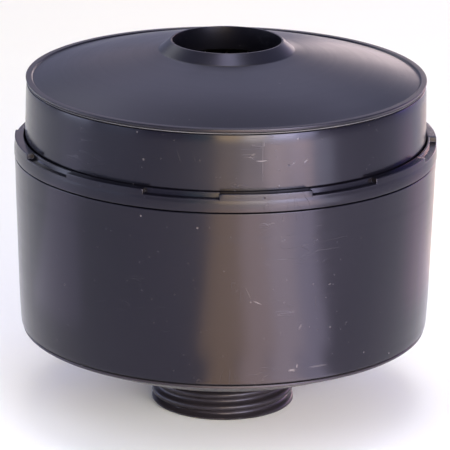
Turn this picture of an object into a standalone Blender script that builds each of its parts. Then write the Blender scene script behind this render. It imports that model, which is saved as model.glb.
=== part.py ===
"""Canister muffler: a two-part plastic body with a domed lid, a threaded neck and a bayonet lock ring.

Metres, +Z up.  The origin is the centre of the neck's end face, so the part stands on z = 0.
Every piece is turned about the Z axis.  Lengths in this file are millimetres until they
reach a mesh, where they are multiplied by MM.

Azimuths are counted from the front (-Y) towards +X.
"""

import bpy
import bmesh
import math

MM = 0.001

# ---------------------------------------------------------------- driving dimensions
NECK_MAJOR_R = 20.0          # round thread, 40 mm over the crests
NECK_MINOR_R = 18.25
NECK_PITCH = 25.4 / 7.0      # seven turns to the inch
NECK_PHASE_Z = 3.4           # a crest passes the front at this height
NECK_BORE_R = 14.8
NECK_END_R = 19.7            # edge of the flat end face
NECK_BAND_Z = 0.5            # a plain band of full radius closes the end of the thread
THREAD_TOP_Z = 13.0

CAP_FLAT_Z = 16.7            # flat underside around the neck
CAP_CORNER_R = 42.8
CAP_RIM_R = 56.5
CAP_RIM_Z0 = 22.6
CAP_RIM_Z1 = 23.55
CAP_WALL = 2.4

SHELL_Z0 = 23.85             # lower edge of the lower shell
SHELL_R0 = 56.85
SHELL_Z1 = 72.1              # shoulder under the lock ring
SHELL_R1 = 58.5
SHELL_WALL = 2.4

RING_R = 58.6
RING_Z0 = 72.4
RING_Z1 = 77.4
RING_FLOOR_Z = 76.0          # bottom of the notches
RING_LIP_R = 56.6            # inner wall of the notches
RING_BORE_R = 55.95
NOTCHES = 8
NOTCH_CENTRE = 33.4          # azimuth of one notch, degrees
NOTCH_WIDTH = 20.3

UPPER_R0 = 55.6
UPPER_R1 = 55.2
UPPER_Z1 = 92.55
UPPER_INNER_R = 53.2

LID_R = 55.3
LID_Z0 = 93.25
LID_BEAD_Z = 94.05
LID_COLLAR_R = 18.7
LID_COLLAR_Z = 101.5
LID_LIP_R = 15.6
LID_TOP_Z = 104.2
OUTLET_R = 15.05
LID_WALL = 2.0

PACK_R = 52.7                # felt, foam, screens and grids
GAP = 0.3


# ---------------------------------------------------------------- mesh helpers
def clear_scene():
    for obj in list(bpy.data.objects):
        bpy.data.objects.remove(obj, do_unlink=True)
    for block in list(bpy.data.meshes):
        bpy.data.meshes.remove(block)
    for block in list(bpy.data.materials):
        bpy.data.materials.remove(block)


def place(r, z, azimuth):
    """Point at radius r and height z, azimuth in degrees from -Y towards +X."""
    a = math.radians(azimuth)
    return (r * math.sin(a) * MM, -r * math.cos(a) * MM, z * MM)


def material(name, colour, roughness, metallic=0.0):
    mat = bpy.data.materials.new(name)
    mat.use_nodes = True
    shader = mat.node_tree.nodes["Principled BSDF"]
    shader.inputs["Base Color"].default_value = (*colour, 1.0)
    shader.inputs["Roughness"].default_value = roughness
    shader.inputs["Metallic"].default_value = metallic
    return mat


def finish(bm, name, mat, sharp_deg=35.0):
    bmesh.ops.remove_doubles(bm, verts=bm.verts, dist=2e-6)
    loose = [e for e in bm.edges if not e.link_faces]
    bmesh.ops.delete(bm, geom=loose, context="EDGES")
    bmesh.ops.recalc_face_normals(bm, faces=bm.faces)
    mesh = bpy.data.meshes.new(name)
    bm.to_mesh(mesh)
    bm.free()
    mesh.materials.append(mat)
    mesh.shade_smooth()
    mesh.set_sharp_from_angle(angle=math.radians(sharp_deg))
    obj = bpy.data.objects.new(name, mesh)
    bpy.context.scene.collection.objects.link(obj)
    return obj


def sweep(name, stations, mat, sharp_deg=35.0):
    """A solid turned round Z.  stations is a list of (azimuth, [(r, z), ...]), every
    outline with the same number of points.  Two stations may share an azimuth: the faces
    between them are then the flat end of a lug or a notch, and points that coincide merge."""
    bm = bmesh.new()
    rings = [[bm.verts.new(place(r, z, az)) for r, z in outline] for az, outline in stations]
    for i, ring in enumerate(rings):
        after = rings[(i + 1) % len(rings)]
        for k in range(len(ring)):
            m = (k + 1) % len(ring)
            bm.faces.new((ring[k], ring[m], after[m], after[k]))
    return finish(bm, name, mat, sharp_deg)


def even(steps, start=0.0):
    return [start + 360.0 * i / steps for i in range(steps)]


def turned(name, outline, mat, steps=48, sharp_deg=35.0):
    return sweep(name, [(a, outline) for a in even(steps)], mat, sharp_deg)


def polar_plate(name, radii, steps, filled, z0, z1, mat):
    """A flat plate with openings, cut out of a polar grid.  filled(i, j) says whether the
    cell between radii[i] and radii[i + 1], from step j to j + 1, is material."""
    bm = bmesh.new()
    angles = even(steps, 180.0 / steps)
    layers = []
    for z in (z0, z1):
        layers.append([[bm.verts.new(place(r, z, a)) for a in angles] for r in radii])
    low, high = layers
    count = len(radii) - 1

    def solid(i, j):
        return 0 <= i < count and filled(i, j % steps)

    for i in range(count):
        for j in range(steps):
            if not solid(i, j):
                continue
            n = (j + 1) % steps
            bm.faces.new((high[i][j], high[i + 1][j], high[i + 1][n], high[i][n]))
            bm.faces.new((low[i][j], low[i][n], low[i + 1][n], low[i + 1][j]))
            if not solid(i + 1, j):
                bm.faces.new((low[i + 1][j], low[i + 1][n], high[i + 1][n], high[i + 1][j]))
            if radii[i] > 0 and not solid(i - 1, j):
                bm.faces.new((low[i][j], high[i][j], high[i][n], low[i][n]))
            if not solid(i, j - 1):
                bm.faces.new((low[i][j], low[i + 1][j], high[i + 1][j], high[i][j]))
            if not solid(i, j + 1):
                bm.faces.new((low[i][n], high[i][n], high[i + 1][n], low[i + 1][n]))
    bmesh.ops.delete(bm, geom=[v for v in bm.verts if not v.link_faces], context="VERTS")
    return finish(bm, name, mat)


def arc(cr, cz, radius, start_deg, end_deg, steps):
    """Points on a fillet in the (r, z) plane."""
    points = []
    for i in range(steps + 1):
        a = math.radians(start_deg + (end_deg - start_deg) * i / steps)
        points.append((cr + radius * math.cos(a), cz + radius * math.sin(a)))
    return points


# ---------------------------------------------------------------- azimuths of the castellation
def castellation_stations():
    """(azimuth, in_notch) for the ring and the shell under it.  Each notch edge comes twice,
    once on each side.  One station falls on each quarter of the circle."""
    half = NOTCH_WIDTH / 2
    period = 360.0 / NOTCHES
    start = NOTCH_CENTRE - period            # the notch just left of the front
    found = []
    for k in range(NOTCHES):
        c = start + k * period
        for i in range(4):
            found.append((c - half + NOTCH_WIDTH * i / 3, True))
        tab0, tab1 = c + half, c + period - half
        quarter = k * period                 # lies just inside the tab's start
        found.append((tab0, False))
        found.append((quarter, False))
        for i in range(1, 3):
            found.append((quarter + (tab1 - quarter) * i / 3, False))
        found.append((tab1, False))
    return found


# ---------------------------------------------------------------- neck and bottom cap
def thread_radius(z, azimuth):
    """Rounded right-hand thread: the crest climbs one pitch as the azimuth goes once round."""
    phase = (z - NECK_PHASE_Z) / NECK_PITCH - azimuth / 360.0
    wave = 0.5 + 0.5 * math.cos(2 * math.pi * phase)
    shape = wave ** 0.85
    fade_top = min(1.0, max(0.0, (THREAD_TOP_Z - z) / 2.0))
    band = NECK_MAJOR_R - 2.5 * max(0.0, z - NECK_BAND_Z)
    return max(band, NECK_MINOR_R + (NECK_MAJOR_R - NECK_MINOR_R) * shape * fade_top)


def make_bottom_cap(mat):
    rows = 18
    inner_floor = CAP_FLAT_Z + CAP_WALL
    stations = []
    for az in even(48):
        outline = [(NECK_BORE_R, 0.0), (NECK_END_R, 0.0)]
        for i in range(rows + 1):
            z = 0.35 + (THREAD_TOP_Z - 0.35) * i / rows
            outline.append((thread_radius(z, az), z))
        outline += [
            (18.6, CAP_FLAT_Z - 0.9), (19.6, CAP_FLAT_Z),
            (CAP_CORNER_R - 0.8, CAP_FLAT_Z), (CAP_CORNER_R + 0.8, CAP_FLAT_Z + 0.45),
            (CAP_RIM_R - 1.0, CAP_RIM_Z0 - 0.35), (CAP_RIM_R, CAP_RIM_Z0 + 0.25),
            (CAP_RIM_R, CAP_RIM_Z1), (53.5, CAP_RIM_Z1),
            (53.5, 24.3), (52.6, 24.3), (52.6, 26.0), (53.5, 26.0),
            (53.5, 27.5), (50.9, 27.5), (50.9, 24.0),
            (CAP_CORNER_R - 1.4, inner_floor), (NECK_BORE_R + 0.6, inner_floor),
            (NECK_BORE_R, inner_floor - 0.6),
        ]
        stations.append((az, outline))
    return sweep("bottom_cap", stations, mat)


def make_lower_shell(mat):
    inner0, inner1 = SHELL_R0 - SHELL_WALL - 0.6, 54.6
    stations = []
    for az, in_notch in castellation_stations():
        lug = 56.9 if in_notch else 55.9
        stations.append((az, [
            (inner0, SHELL_Z0), (SHELL_R0 - 0.3, SHELL_Z0), (SHELL_R0, SHELL_Z0 + 0.35),
            (57.3, 31.2), (57.65, 43.0), (58.15, 60.6), (SHELL_R1, SHELL_Z1),
            (55.9, SHELL_Z1), (55.9, 73.3), (lug, 73.3), (lug, 74.0), (55.9, 74.0),
            (inner1, 74.0), (inner1, 64.0),
        ]))
    return sweep("lower_shell", stations, mat)


def make_lock_ring(mat):
    """Bayonet ring: its lip lies over the upper shell's flange, and its eight inner lugs
    lie under the lower shell's lugs.  A turn of half a pitch of the castellation frees it."""
    stations = []
    for az, in_notch in castellation_stations():
        lug = 56.25 if in_notch else 57.3
        top = RING_FLOOR_Z if in_notch else RING_Z1
        stations.append((az, [
            (57.3, RING_Z0), (RING_R, RING_Z0), (RING_R, RING_FLOOR_Z), (RING_R, top),
            (RING_LIP_R, top), (RING_LIP_R, RING_Z1), (RING_BORE_R, RING_Z1),
            (RING_BORE_R, 75.4), (57.3, 75.4), (57.3, 73.0), (lug, 73.0), (lug, RING_Z0),
        ]))
    return sweep("lock_ring", stations, mat)


def make_upper_shell(mat):
    outline = [
        (52.2, 66.0), (54.2, 66.0), (54.2, 69.0), (53.0, 69.0), (53.0, 70.7), (54.2, 70.7),
        (54.2, 74.3), (56.9, 74.3), (56.9, 75.1), (UPPER_R0, 75.1),
        (UPPER_R1, UPPER_Z1), (UPPER_INNER_R, UPPER_Z1), (UPPER_INNER_R, 73.6),
        (48.5, 73.6), (48.5, 72.0), (52.2, 72.0),
    ]
    return turned("upper_shell", outline, mat)


def lid_outside(r):
    """Height of the dome's outer face at radius r: a shallow cone, crowned in between."""
    r0, r1 = 53.2, 20.6
    t = (r0 - r) / (r0 - r1)
    return 93.75 + (101.05 - 93.75) * t + 0.75 * math.sin(math.pi * t) * (1 - 0.25 * t)


def make_lid(mat):
    dome = [(r, lid_outside(r)) for r in (53.2, 49.0, 43.5, 37.5, 31.5, 25.5, 20.6)]
    under = [(r, lid_outside(r) - LID_WALL) for r in (21.0, 30.0, 40.0, 49.0)]
    outline = (
        [(52.9, LID_Z0), (LID_R, LID_Z0), (LID_R, 93.75), (54.6, LID_BEAD_Z), (53.8, LID_BEAD_Z)]
        + dome
        + [(LID_COLLAR_R, LID_COLLAR_Z), (LID_LIP_R, LID_TOP_Z), (OUTLET_R, LID_TOP_Z),
           (OUTLET_R, 97.6), (17.0, 97.6), (17.0, 99.2)]
        + under
        + [(51.2, 91.9), (51.2, 89.2), (52.9, 89.2)]
    )
    return turned("lid", outline, mat)


# ---------------------------------------------------------------- seals and inner pieces
def seal(name, r0, r1, z0, z1, mat, steps=48):
    return turned(name, [(r0, z0), (r1, z0), (r1, z1), (r0, z1)], mat, steps)


def disc(name, radius, z0, z1, mat, steps=36, soften=0.8):
    s = soften
    return turned(name, [(0, z0), (radius - s, z0), (radius, z0 + s),
                         (radius, z1 - s), (radius - s, z1), (0, z1)], mat, steps)


def make_inlet_diffuser(mat):
    """Crown over the neck's bore: a closed plate on eight legs, with a slot between legs."""
    stations = []
    for k in range(8):
        for az, leg in ((0, True), (10, True), (20, True), (20, False), (45 - 12.5, False), (45, False)):
            base = 19.4 if leg else 25.0
            stations.append((k * 45.0 + az, [
                (0, 26.6), (0, 25.0), (17.6, 25.0), (17.6, base), (20.2, base), (20.2, 25.0),
                (20.2, 26.0), (19.4, 26.6),
            ]))
    return sweep("inlet_diffuser", stations, mat)


def grid(name, rings, z0, z1, mat, steps=24, spoke_every=3, hub_spokes=6):
    """Moulded grid.  rings is a list of (inner, outer) radii of its hoops, hub first."""
    radii = sorted({r for pair in rings for r in pair})

    def filled(i, j):
        middle = (radii[i] + radii[i + 1]) / 2
        if any(a < middle < b for a, b in rings):
            return True
        every = hub_spokes if i == 1 else spoke_every
        return j % every == 0

    return polar_plate(name, radii, steps, filled, z0, z1, mat)


def make_wave_spring(mat):
    stations = []
    for az in even(48):
        z = 70.0 + 1.0 * math.cos(math.radians(4 * az))
        stations.append((az, [(46.5, z - 0.25), (51.4, z - 0.25), (51.4, z + 0.25), (46.5, z + 0.25)]))
    return sweep("wave_spring", stations, mat)


def make_pleated_pack(mat):
    """Pleated sheet clipped to a round: a folded band, then intersected with a cylinder."""
    radius, z0, z1, pitch, thick = 50.2, 75.4, 88.3, 6.2, 1.3
    folds = int(math.ceil(radius / pitch)) + 1
    bm = bmesh.new()
    top, bottom = [], []
    for i in range(-2 * folds, 2 * folds + 1):
        x = i * pitch / 2
        up = i % 2 == 0
        top.append((x, z1 if up else z0 + thick * 1.6))
        bottom.append((x, z1 - thick * 1.6 if up else z0))
    outline = top + bottom[::-1]
    front = [bm.verts.new((x * MM, -(radius + 5) * MM, z * MM)) for x, z in outline]
    back = [bm.verts.new((x * MM, (radius + 5) * MM, z * MM)) for x, z in outline]
    count, half = len(outline), len(top)
    for i in range(count):
        n = (i + 1) % count
        bm.faces.new((front[i], front[n], back[n], back[i]))
    for i in range(half - 1):
        a, b, c, d = i, i + 1, count - 2 - i, count - 1 - i
        bm.faces.new((front[a], front[b], front[c], front[d]))
        bm.faces.new((back[d], back[c], back[b], back[a]))
    band = finish(bm, "pleated_pack", mat, 20.0)
    cutter = turned("pleat_round_cutter", [(0, z0 - 4), (radius, z0 - 4), (radius, z1 + 4), (0, z1 + 4)], mat, 48)
    cutter.hide_render = True
    cutter.display_type = "WIRE"
    cut = band.modifiers.new("round", "BOOLEAN")
    cut.operation = "INTERSECT"
    cut.solver = "EXACT"
    cut.object = cutter
    return band


# ---------------------------------------------------------------- assembly
def build():
    clear_scene()
    black = (0.018, 0.018, 0.024)
    cap_plastic = material("cap_plastic", black, 0.38)
    lower_plastic = material("lower_shell_plastic", black, 0.36)
    ring_plastic = material("ring_plastic", (0.02, 0.018, 0.024), 0.42)
    upper_plastic = material("upper_shell_plastic", black, 0.36)
    lid_plastic = material("lid_plastic", (0.022, 0.022, 0.03), 0.4)
    gasket = material("gasket_rubber", (0.1, 0.1, 0.12), 0.6)
    bottom_rubber = material("bottom_seal_rubber", (0.02, 0.02, 0.02), 0.6)
    body_rubber = material("body_seal_rubber", (0.02, 0.02, 0.02), 0.6)
    diffuser_plastic = material("diffuser_plastic", (0.03, 0.03, 0.035), 0.5)
    lower_grid_plastic = material("lower_grid_plastic", (0.03, 0.03, 0.035), 0.5)
    upper_grid_plastic = material("upper_grid_plastic", (0.03, 0.03, 0.035), 0.5)
    separator_plastic = material("separator_plastic", (0.03, 0.03, 0.035), 0.5)
    lower_wire = material("lower_screen_wire", (0.55, 0.55, 0.56), 0.4, 1.0)
    upper_wire = material("upper_screen_wire", (0.55, 0.55, 0.56), 0.4, 1.0)
    spring_steel = material("spring_steel", (0.5, 0.5, 0.52), 0.3, 1.0)
    lower_felt = material("lower_felt", (0.6, 0.58, 0.52), 0.95)
    upper_felt = material("upper_felt", (0.6, 0.58, 0.52), 0.95)
    lower_foam = material("lower_foam", (0.07, 0.07, 0.075), 0.95)
    upper_foam = material("upper_foam", (0.07, 0.07, 0.075), 0.95)
    pleat_paper = material("pleat_paper", (0.66, 0.62, 0.52), 0.9)
    frame_plastic = material("pleat_frame_plastic", (0.03, 0.03, 0.035), 0.5)

    root = bpy.data.objects.new("canister", None)
    bpy.context.scene.collection.objects.link(root)
    ring_axis = bpy.data.objects.new("lock_ring_axis", None)
    bpy.context.scene.collection.objects.link(ring_axis)
    ring_axis.parent = root

    fixed = [
        make_bottom_cap(cap_plastic),
        make_lower_shell(lower_plastic),
        make_upper_shell(upper_plastic),
        make_lid(lid_plastic),
        seal("lid_gasket", 53.25, 55.05, UPPER_Z1 + 0.2, LID_Z0 - 0.2, gasket),
        seal("bottom_seal", 52.75, 53.6, 24.6, 25.7, bottom_rubber),
        seal("body_seal", 53.2, 54.3, 69.2, 70.5, body_rubber),
        make_inlet_diffuser(diffuser_plastic),
        grid("lower_grid", [(0, 6), (19, 21.5), (34, 36.5), (49.8, PACK_R)], 27.8, 29.8, lower_grid_plastic),
        disc("lower_screen", PACK_R, 30.1, 30.7, lower_wire, 36, 0.15),
        disc("felt_disc_lower", PACK_R, 31.0, 37.0, lower_felt),
        disc("foam_disc_lower", PACK_R, 37.3, 48.0, lower_foam),
        grid("separator_plate", [(0, 5), (15, 18.5), (28.5, 32), (42, PACK_R)], 48.3, 49.9, separator_plastic, 24, 2, 4),
        disc("foam_disc_upper", PACK_R, 50.2, 58.2, upper_foam),
        disc("felt_disc_upper", PACK_R, 58.5, 64.7, upper_felt),
        disc("upper_screen", PACK_R, 65.0, 65.6, upper_wire, 36, 0.15),
        grid("upper_grid", [(0, 6), (19, 21.5), (34, 36.5), (48.8, 51.7)], 66.0, 68.4, upper_grid_plastic),
        make_wave_spring(spring_steel),
        turned("pleat_frame", [(47.4, 73.9), (52.8, 73.9), (52.8, 88.9), (50.6, 88.9),
                               (50.6, 75.0), (47.4, 75.0)], frame_plastic, 48),
        make_pleated_pack(pleat_paper),
    ]
    for obj in fixed:
        obj.parent = root
    bpy.data.objects["pleat_round_cutter"].parent = root

    ring = make_lock_ring(ring_plastic)
    ring.parent = ring_axis
    bpy.context.view_layer.update()


build()
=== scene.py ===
"""Looks for the canister muffler: fine meshes, procedural materials, studio light and camera.

Lengths are millimetres until they reach a mesh. Azimuths are degrees from the front (-Y) towards +X.
"""
import math

import bmesh
import bpy
import numpy as np
from mathutils import Matrix, Vector


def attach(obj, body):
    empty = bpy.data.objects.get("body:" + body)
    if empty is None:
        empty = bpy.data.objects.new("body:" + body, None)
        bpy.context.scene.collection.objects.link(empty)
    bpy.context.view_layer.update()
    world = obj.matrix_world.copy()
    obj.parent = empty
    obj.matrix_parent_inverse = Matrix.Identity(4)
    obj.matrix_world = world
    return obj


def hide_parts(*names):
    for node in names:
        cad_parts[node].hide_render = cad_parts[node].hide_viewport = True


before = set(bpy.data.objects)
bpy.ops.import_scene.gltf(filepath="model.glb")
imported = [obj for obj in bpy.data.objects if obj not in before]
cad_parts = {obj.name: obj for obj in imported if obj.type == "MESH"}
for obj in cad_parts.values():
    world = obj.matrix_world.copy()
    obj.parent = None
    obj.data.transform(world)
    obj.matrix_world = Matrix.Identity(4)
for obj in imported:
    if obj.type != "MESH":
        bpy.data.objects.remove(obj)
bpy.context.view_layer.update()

MM = 0.001
ROOT = "canister"
RING = "lock_ring"
scene = bpy.context.scene
scene.view_settings.view_transform = "Standard"


# ================================================================ camera
def make_camera():
    pitch, yaw, roll = math.radians(17.411), math.radians(0.007), math.radians(0.686)
    fw = Vector((math.sin(yaw) * math.cos(pitch), math.cos(yaw) * math.cos(pitch), -math.sin(pitch)))
    right = fw.cross(Vector((0, 0, 1))).normalized()
    up = right.cross(fw)
    r = right * math.cos(roll) + up * math.sin(roll)
    u = up * math.cos(roll) - right * math.sin(roll)
    data = bpy.data.cameras.new("camera")
    data.sensor_width = 36.0
    data.lens = 269.55
    data.clip_start, data.clip_end = 0.05, 20.0
    cam = bpy.data.objects.new("camera", data)
    scene.collection.objects.link(cam)
    m = Matrix.Identity(4)
    for row in range(3):
        m[row][0], m[row][1], m[row][2] = r[row], u[row], -fw[row]
    m[0][3], m[1][3], m[2][3] = 0.0, -0.8994, 0.3328
    cam.matrix_world = m
    scene.camera = cam


make_camera()


# ================================================================ mesh helpers
def place(r, z, az):
    a = np.radians(az)
    return np.stack([r * np.sin(a), -r * np.cos(a), np.broadcast_to(z, np.shape(r * np.sin(a)))], -1) * MM


def fillet(points, radii, steps=4):
    """Rounds the corners of a closed outline. radii is one number or one per point; 0 keeps a corner."""
    n = len(points)
    if np.isscalar(radii):
        radii = [radii] * n
    out = []
    for i in range(n):
        p0, p, p1 = (np.array(points[k % n], float) for k in (i - 1, i, i + 1))
        a, b = p0 - p, p1 - p
        la, lb = np.linalg.norm(a), np.linalg.norm(b)
        a, b = a / la, b / lb
        angle = math.acos(max(-1.0, min(1.0, float(a @ b))))
        rad = radii[i]
        if rad <= 0 or angle > math.radians(178) or angle < math.radians(2):
            out.append(tuple(p))
            continue
        cut = rad / math.tan(angle / 2)
        limit = 0.49 * min(la, lb)
        if cut > limit:
            cut = limit
            rad = cut * math.tan(angle / 2)
        centre = p + (a + b) / np.linalg.norm(a + b) * (rad / math.sin(angle / 2))
        s, e = p + a * cut - centre, p + b * cut - centre
        t0 = math.atan2(s[1], s[0])
        dt = math.atan2(e[1], e[0]) - t0
        dt = (dt + math.pi) % (2 * math.pi) - math.pi
        for k in range(steps + 1):
            t = t0 + dt * k / steps
            out.append((centre[0] + rad * math.cos(t), centre[1] + rad * math.sin(t)))
    return out


def densify(points, longest):
    """Adds points on the long straight runs of a closed outline."""
    out = []
    for i, p in enumerate(points):
        q = points[(i + 1) % len(points)]
        out.append(p)
        d = math.hypot(q[0] - p[0], q[1] - p[1])
        count = int(d // longest)
        for k in range(1, count + 1):
            t = k / (count + 1)
            out.append((p[0] + (q[0] - p[0]) * t, p[1] + (q[1] - p[1]) * t))
    return out


def mesh_object(name, verts, faces, mat, sharp=34.0, weld=1e-7):
    mesh = bpy.data.meshes.new(name)
    mesh.from_pydata([tuple(v) for v in verts], [], faces)
    bm = bmesh.new()
    bm.from_mesh(mesh)
    bmesh.ops.remove_doubles(bm, verts=bm.verts, dist=weld)
    bmesh.ops.delete(bm, geom=[e for e in bm.edges if not e.link_faces], context="EDGES")
    bmesh.ops.recalc_face_normals(bm, faces=bm.faces)
    bm.to_mesh(mesh)
    bm.free()
    mesh.materials.append(mat)
    mesh.shade_smooth()
    mesh.set_sharp_from_angle(angle=math.radians(sharp))
    obj = bpy.data.objects.new(name, mesh)
    scene.collection.objects.link(obj)
    return obj


def grid_faces(rows, cols):
    faces = []
    for i in range(rows):
        n = (i + 1) % rows
        for k in range(cols):
            m = (k + 1) % cols
            faces.append((i * cols + k, i * cols + m, n * cols + m, n * cols + k))
    return faces


def swept(name, stations, mat, sharp=34.0):
    """stations: (azimuth, outline) with equal outlines all the way round Z."""
    verts = []
    for az, outline in stations:
        o = np.array(outline, float)
        verts.append(place(o[:, 0], o[:, 1], az))
    verts = np.concatenate(verts)
    return mesh_object(name, verts, grid_faces(len(stations), len(stations[0][1])), mat, sharp)


def turned(name, outline, mat, steps=288, sharp=34.0, wobble=None):
    """A turned solid. wobble(r, z, az) -> (r, z) moves points a little, for hand-made softness."""
    o = np.array(outline, float)
    az = np.arange(steps) * 360.0 / steps
    r = np.repeat(o[None, :, 0], steps, 0)
    z = np.repeat(o[None, :, 1], steps, 0)
    a = np.repeat(az[:, None], len(o), 1)
    if wobble:
        r, z = wobble(r, z, a)
    v = np.stack([r * np.sin(np.radians(a)), -r * np.cos(np.radians(a)), z], -1).reshape(-1, 3) * MM
    return mesh_object(name, v, grid_faces(steps, len(o)), mat, sharp)


def put(obj, body, *nodes, slot=None):
    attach(obj, body)
    if nodes:
        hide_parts(*nodes)
    return obj


# ================================================================ node helpers
class Tree:
    def __init__(self, name):
        self.mat = bpy.data.materials.new(name)
        self.mat.use_nodes = True
        self.nt = self.mat.node_tree
        self.bsdf = self.nt.nodes["Principled BSDF"]
        self.out = self.nt.nodes["Material Output"]
        coord = self.nt.nodes.new("ShaderNodeTexCoord")
        self.pos = coord.outputs["Object"]

    def link(self, src, dst):
        if isinstance(src, bpy.types.NodeSocket):
            self.nt.links.new(src, dst)
        else:
            dst.default_value = src

    def math(self, op, a, b=None, c=None, clamp=False):
        n = self.nt.nodes.new("ShaderNodeMath")
        n.operation = op
        n.use_clamp = clamp
        for i, s in enumerate((a, b, c)):
            if s is not None:
                self.link(s, n.inputs[i])
        return n.outputs[0]

    def scaled(self, x, y, z, dx=0.0, dy=0.0, dz=0.0):
        n = self.nt.nodes.new("ShaderNodeMapping")
        n.inputs["Scale"].default_value = (x, y, z)
        n.inputs["Location"].default_value = (dx, dy, dz)
        self.link(self.pos, n.inputs["Vector"])
        return n.outputs[0]

    def noise(self, vec, scale=1.0, detail=3.0, rough=0.5, distort=0.0):
        n = self.nt.nodes.new("ShaderNodeTexNoise")
        n.inputs["Scale"].default_value = scale
        n.inputs["Detail"].default_value = detail
        n.inputs["Roughness"].default_value = rough
        n.inputs["Distortion"].default_value = distort
        self.link(vec, n.inputs["Vector"])
        return n.outputs["Fac"]

    def voronoi(self, vec, scale=1.0, feature="F1", rand=1.0):
        n = self.nt.nodes.new("ShaderNodeTexVoronoi")
        n.feature = feature
        n.inputs["Scale"].default_value = scale
        n.inputs["Randomness"].default_value = rand
        self.link(vec, n.inputs["Vector"])
        return n

    def ramp(self, fac, stops, interp="LINEAR"):
        n = self.nt.nodes.new("ShaderNodeValToRGB")
        n.color_ramp.interpolation = interp
        els = n.color_ramp.elements
        while len(els) < len(stops):
            els.new(0.5)
        for e, (p, c) in zip(els, stops):
            e.position = p
            e.color = (*c, 1.0) if hasattr(c, "__len__") else (c, c, c, 1.0)
        self.link(fac, n.inputs[0])
        return n.outputs["Color"]

    def remap(self, v, a0, a1, b0, b1, smooth=False):
        n = self.nt.nodes.new("ShaderNodeMapRange")
        n.interpolation_type = "SMOOTHSTEP" if smooth else "LINEAR"
        self.link(v, n.inputs["Value"])
        for k, x in zip(("From Min", "From Max", "To Min", "To Max"), (a0, a1, b0, b1)):
            n.inputs[k].default_value = x
        return n.outputs["Result"]

    def mix(self, fac, a, b):
        n = self.nt.nodes.new("ShaderNodeMix")
        n.data_type = "RGBA"
        self.link(fac, n.inputs[0])
        for s, i in ((a, 6), (b, 7)):
            if isinstance(s, bpy.types.NodeSocket):
                self.nt.links.new(s, n.inputs[i])
            else:
                n.inputs[i].default_value = (*s, 1.0)
        return n.outputs[2]

    def xyz(self):
        n = self.nt.nodes.new("ShaderNodeSeparateXYZ")
        self.link(self.pos, n.inputs[0])
        return n.outputs

    def bump(self, height, strength, distance, normal=None):
        n = self.nt.nodes.new("ShaderNodeBump")
        n.inputs["Strength"].default_value = strength
        n.inputs["Distance"].default_value = distance
        self.link(height, n.inputs["Height"])
        if normal is not None:
            self.link(normal, n.inputs["Normal"])
        return n.outputs[0]

    def add(self, *vals):
        total = vals[0]
        for v in vals[1:]:
            total = self.math("ADD", total, v)
        return total

    def mul(self, *vals):
        total = vals[0]
        for v in vals[1:]:
            total = self.math("MULTIPLY", total, v)
        return total

    def set(self, **kw):
        names = {"color": "Base Color", "rough": "Roughness", "metal": "Metallic", "ior": "IOR", "normal": "Normal",
                 "coat": "Coat Weight", "coat_rough": "Coat Roughness", "sheen": "Sheen Weight", "spec": "Specular IOR Level",
                 "sheen_rough": "Sheen Roughness", "aniso": "Anisotropic"}
        for k, v in kw.items():
            s = self.bsdf.inputs[names[k]]
            if isinstance(v, bpy.types.NodeSocket):
                self.nt.links.new(v, s)
            elif k == "color":
                s.default_value = (*v, 1.0)
            else:
                s.default_value = v
        return self.mat


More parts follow.
